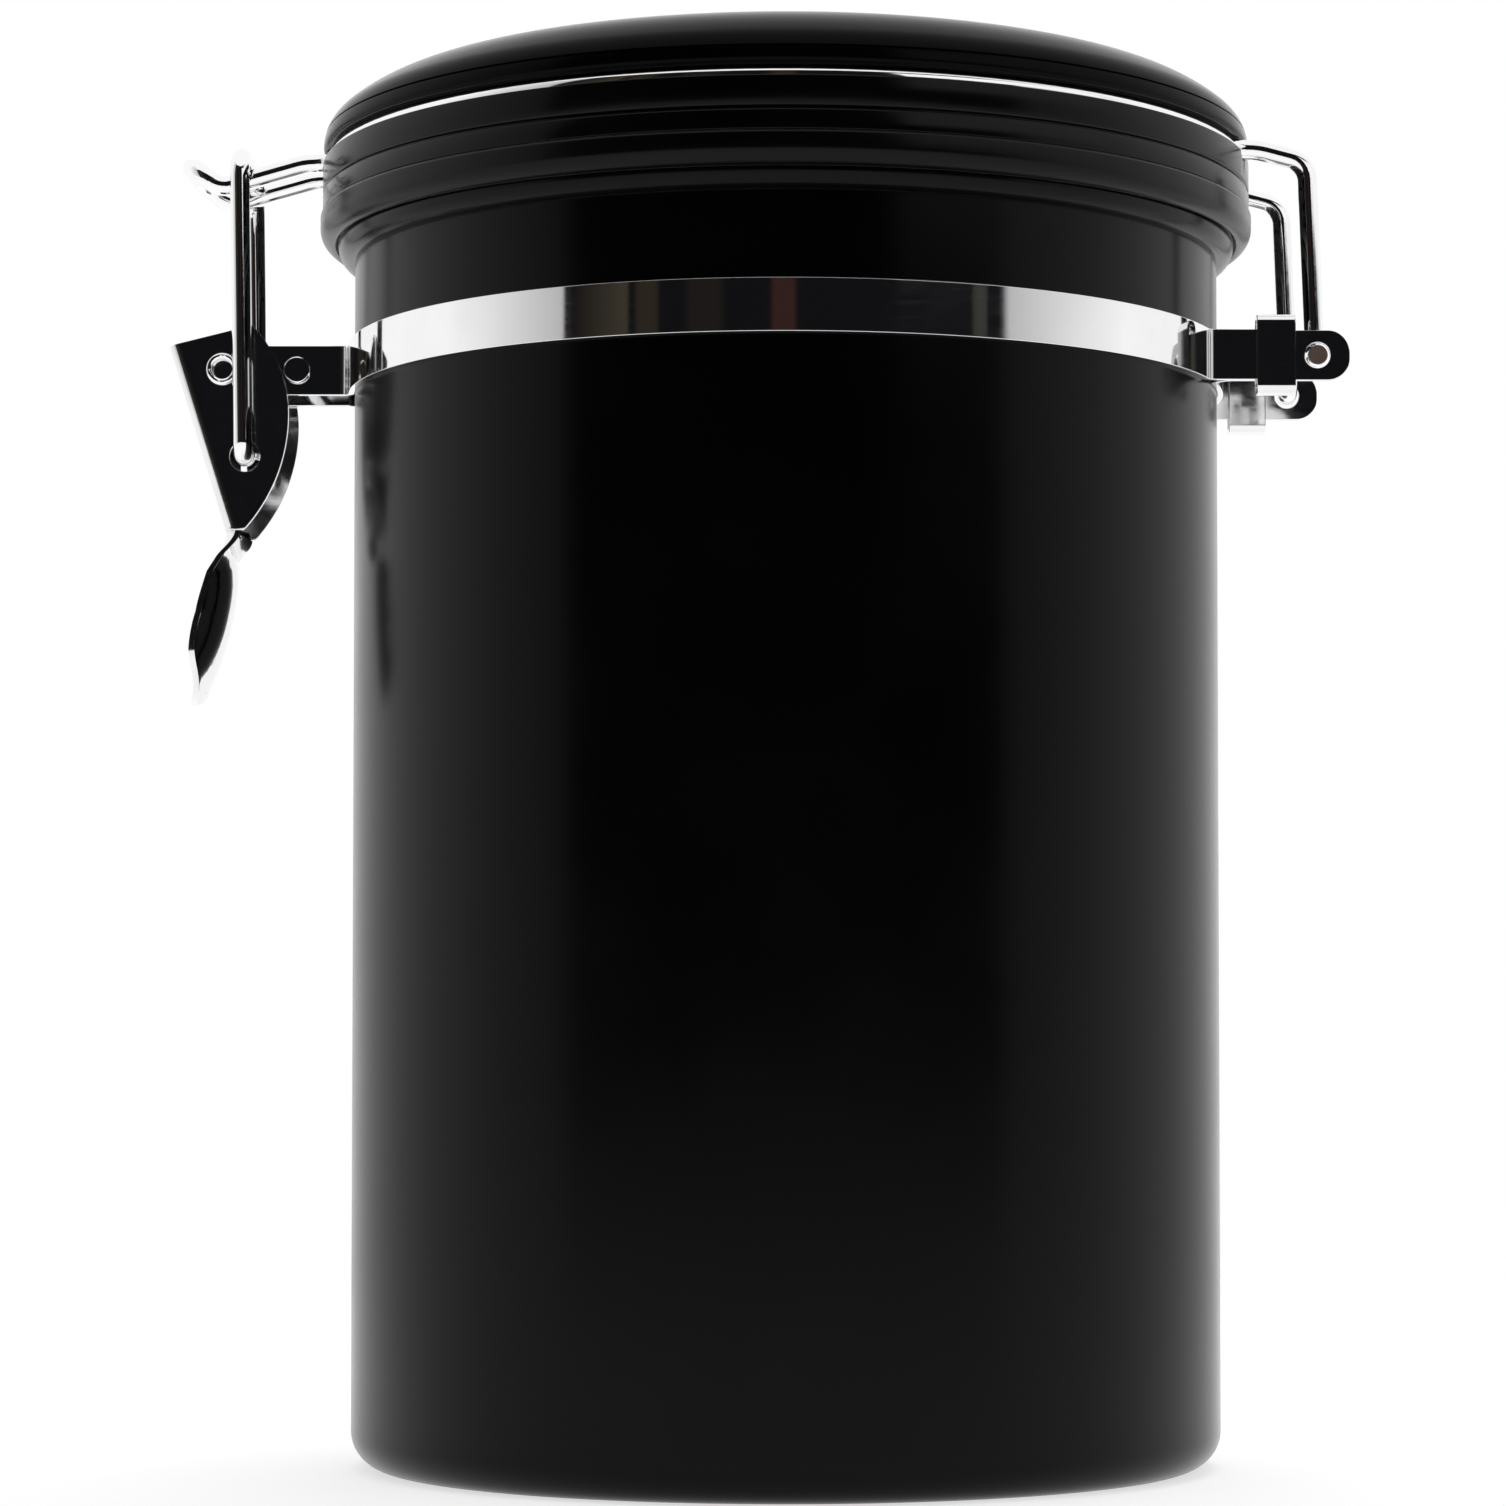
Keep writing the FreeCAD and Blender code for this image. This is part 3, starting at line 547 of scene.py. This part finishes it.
def makeRoom():
    wing, edge = studio["wingReach"], studio["darkReach"]
    reach = math.radians(wing)
    wall = curvedCard("unlitWall", studio["roomRadius"], 0, studio["roomHeight"], -wing, wing)
    mat, tree, glow = stageMaterial("unlitWallTone")
    coord = tree.nodes.new("ShaderNodeTexCoord")
    split = tree.nodes.new("ShaderNodeSeparateXYZ")
    tree.links.new(coord.outputs["Object"], split.inputs[0])
    back = tree.nodes.new("ShaderNodeMath")
    back.operation = "MULTIPLY"
    back.inputs[1].default_value = -1
    tree.links.new(split.outputs["Y"], back.inputs[0])
    turn = tree.nodes.new("ShaderNodeMath")
    turn.operation = "ARCTAN2"
    tree.links.new(split.outputs["X"], turn.inputs[0])
    tree.links.new(back.outputs[0], turn.inputs[1])
    fac = rangeOf(tree, turn.outputs[0], 0, 1, -reach, reach)
    ramp = tree.nodes.new("ShaderNodeValToRGB")
    wings = [(past, (tone,) * 3) for past, tone in studio["wingTones"]]
    base, blur = room["base"], room["blur"]
    stops = [(-edge - past, colour) for past, colour in reversed(wings)] + [(-edge, base)]
    for left, right, colour in room["uprights"]:
        stops += [(left - blur, base), (left, colour), (right, colour), (right + blur, base)]
    stops += [(edge, base)] + [(edge + past, colour) for past, colour in wings]
    ramp.color_ramp.elements[0].position = 0
    ramp.color_ramp.elements[0].color = (1, 1, 1, 1)
    ramp.color_ramp.elements[1].position = 1
    ramp.color_ramp.elements[1].color = (1, 1, 1, 1)
    for degrees, colour in stops:
        stop = ramp.color_ramp.elements.new((degrees + wing) / (2 * wing))
        stop.color = (*colour, 1)
    tree.links.new(fac, ramp.inputs["Fac"])
    tree.links.new(ramp.outputs["Color"], glow.inputs["Color"])
    dress(wall, mat)


# a card outside the picture: a pale window high up on the right, no brighter than the world
cards = [
    dict(name="paleWindow", radius=1.24, low=0.4, high=1.1, fromDeg=28, toDeg=84, tone=1.0),
]


def makeCards():
    for card in cards:
        obj = curvedCard(card["name"], card["radius"], card["low"], card["high"],
                         card["fromDeg"], card["toDeg"])
        mat, tree, glow = stageMaterial(card["name"] + "Tone")
        glow.inputs["Strength"].default_value = card["tone"]
        dress(obj, mat)


def makeWorld():
    world = bpy.data.worlds.new("whiteStudio")
    bpy.context.scene.world = world
    world.use_nodes = True
    tree = world.node_tree
    tree.nodes.clear()
    out = tree.nodes.new("ShaderNodeOutputWorld")
    fill = tree.nodes.new("ShaderNodeBackground")
    fill.inputs["Color"].default_value = (1, 1, 1, 1)
    fill.inputs["Strength"].default_value = 1.0
    tree.links.new(fill.outputs[0], out.inputs["Surface"])


lamps = [
    dict(name="softTop", place=(0.15, 0.45, 1.2), aim=(0, 0, 0.1), size=(0.8, 0.8), watts=4),
]


def makeLamps():
    for lamp in lamps:
        deselectAll()
        bpy.ops.object.light_add(type="AREA", location=lamp["place"])
        obj = bpy.context.object
        obj.name = lamp["name"]
        obj.data.shape = "RECTANGLE"
        obj.data.size, obj.data.size_y = lamp["size"]
        obj.data.energy = lamp["watts"]
        toward = Vector(lamp["aim"]) - Vector(lamp["place"])
        obj.rotation_euler = toward.to_track_quat("-Z", "Y").to_euler()
        obj.visible_camera = False
        obj.visible_glossy = False


eye = dict(place=(0.08, -581.25, 52.9), pitch=2.324, lens=106.99, sensor=36, near=0.01,
           shiftX=-0.0222, shiftY=0.08)


def makeCamera():
    deselectAll()
    bpy.ops.object.camera_add(location=[v * mm for v in eye["place"]],
                              rotation=(math.radians(90 + eye["pitch"]), 0, 0))
    cam = bpy.context.object
    cam.name = "photoCamera"
    cam.data.sensor_width = eye["sensor"]
    cam.data.lens = eye["lens"]
    cam.data.shift_x = eye["shiftX"]
    cam.data.shift_y = eye["shiftY"]
    cam.data.clip_start = eye["near"]
    cam.data.dof.use_dof = False
    bpy.context.scene.camera = cam


makeFloor()
makeRoom()
makeCards()
makeWorld()
makeLamps()
makeCamera()
bpy.context.scene.view_settings.view_transform = "Standard"
print("studio made")
